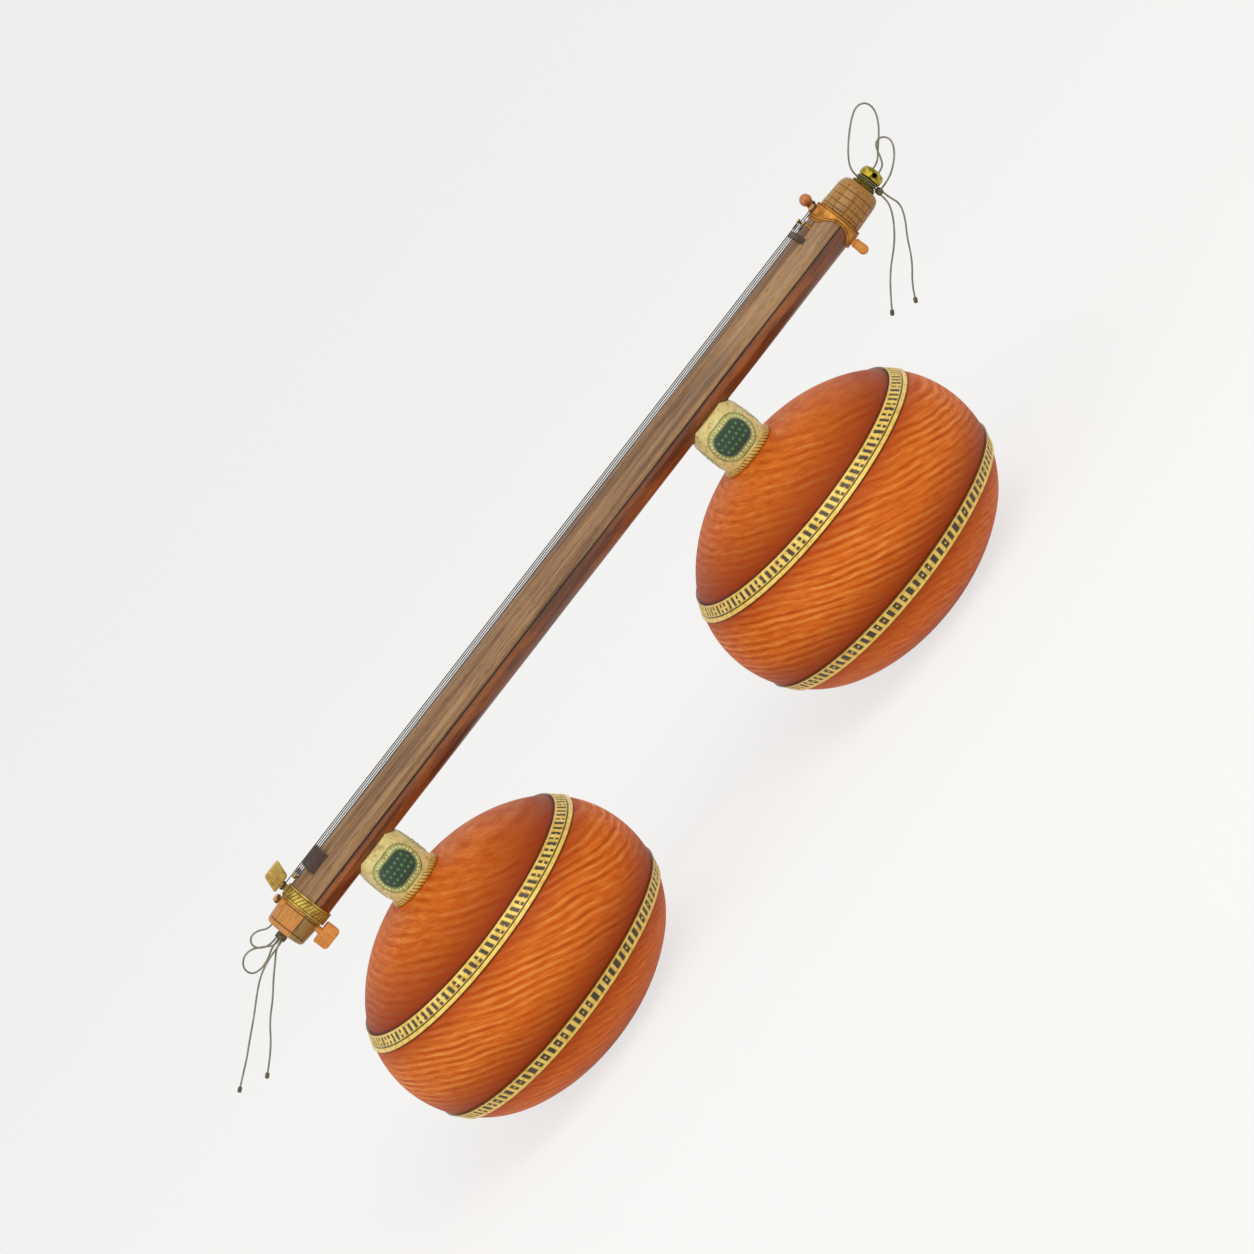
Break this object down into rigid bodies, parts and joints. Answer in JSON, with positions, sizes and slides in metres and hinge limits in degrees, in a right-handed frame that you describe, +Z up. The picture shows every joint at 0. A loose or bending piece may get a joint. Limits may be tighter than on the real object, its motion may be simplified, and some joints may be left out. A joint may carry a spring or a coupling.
{
  "type": "stick tanpura",
  "caption": "Fretless stick tanpura: a hollow wooden neck on round gourd resonators with painted collars, gilt bands, turning string pegs and springy gut cord ends.",
  "frame": {"origin": "on the floor under the middle of the bounding box, in the plane of the neck's axis", "axes": "+X along the neck towards the head, +Z up from the gourds' feet to the neck, +Y to the left of someone who looks along +X"},
  "size_m": [1.0778, 0.32, 0.3517],
  "materials": {
    "gourd_shell": "orange lacquer",
    "gilt": "gilt",
    "painted_collar": "green paint with a cream border",
    "neck_cover_wood": "lacquer",
    "neck_trough_wood": "lacquer",
    "block_wood": "lacquer",
    "gold_brass": "polished",
    "old_brass": "dulled",
    "rose_peg_wood": "satin",
    "orange_peg_wood": "lacquer",
    "gilt_peg_wood": "gilt",
    "steel_wire": "drawn",
    "dark_hardwood": "oiled",
    "plain_wood": "bare",
    "bolt_steel": "plain",
    "gut": "dry gut",
    "dark_gut": "waxed gut"
  },
  "bodies": {
    "neck_and_gourds": {"neck_trough": "neck_trough_wood", "neck_cover": "neck_cover_wood", "tail_block": "block_wood", "head_block": "block_wood", "tail_ferrule": "gold_brass", "head_ferrule": "gold_brass", "head_knob": "old_brass", "bridge": "dark_hardwood", "nut": "dark_hardwood", "head_lashing": "dark_gut", "head_knot": "dark_gut", "tail_knot": "dark_gut", "first_string": "steel_wire", "first_hitch_pin": "gold_brass", "second_string": "steel_wire", "second_hitch_pin": "gold_brass", "third_string": "steel_wire", "third_hitch_pin": "gold_brass", "fourth_string": "steel_wire", "fourth_hitch_pin": "gold_brass", "lower_gourd": "gourd_shell", "lower_gourd_upper_band": "gilt", "lower_gourd_lower_band": "gilt", "lower_collar": "painted_collar", "lower_collar_ring": "gilt", "lower_lock_ring": "plain_wood", "lower_bolt": "bolt_steel", "lower_bolt_pad": "plain_wood", "lower_bolt_nut": "bolt_steel", "upper_gourd": "gourd_shell", "upper_gourd_upper_band": "gilt", "upper_gourd_lower_band": "gilt", "upper_collar": "painted_collar", "upper_collar_ring": "gilt", "upper_lock_ring": "plain_wood", "upper_bolt": "bolt_steel", "upper_bolt_pad": "plain_wood", "upper_bolt_nut": "bolt_steel", "head_long_loop": "gut", "head_short_loop": "gut", "head_outer_end": "gut", "head_outer_end_knot": "dark_gut", "head_inner_end": "gut", "head_inner_end_knot": "dark_gut", "tail_long_loop": "gut", "tail_short_loop": "gut", "tail_outer_end": "gut", "tail_outer_end_knot": "dark_gut", "tail_inner_end": "gut", "tail_inner_end_knot": "dark_gut"},
    "tail_upper_tuner": {"tail_upper_peg": "gilt_peg_wood", "tail_upper_winding": "steel_wire"},
    "tail_lower_tuner": {"tail_lower_peg": "orange_peg_wood", "tail_lower_winding": "steel_wire"},
    "head_upper_tuner": {"head_upper_peg": "rose_peg_wood", "head_upper_winding": "steel_wire"},
    "head_lower_tuner": {"head_lower_peg": "orange_peg_wood", "head_lower_winding": "steel_wire"}
  },
  "joints": [
    {"name": "tail_upper_turn", "type": "hinge", "parent": "neck_and_gourds", "child": "tail_upper_tuner", "pos_m": [-0.387, 0.0085, 0.3], "axis": [0, 0, 1], "continuous": true},
    {"name": "tail_lower_turn", "type": "hinge", "parent": "neck_and_gourds", "child": "tail_lower_tuner", "pos_m": [-0.3985, -0.0085, 0.3], "axis": [0, 0, 1], "continuous": true},
    {"name": "head_upper_turn", "type": "hinge", "parent": "neck_and_gourds", "child": "head_upper_tuner", "pos_m": [0.408, 0.0085, 0.3], "axis": [0, 0, 1], "continuous": true},
    {"name": "head_lower_turn", "type": "hinge", "parent": "neck_and_gourds", "child": "head_lower_tuner", "pos_m": [0.4048, -0.0085, 0.3], "axis": [0, 0, 1], "continuous": true}
  ]
}
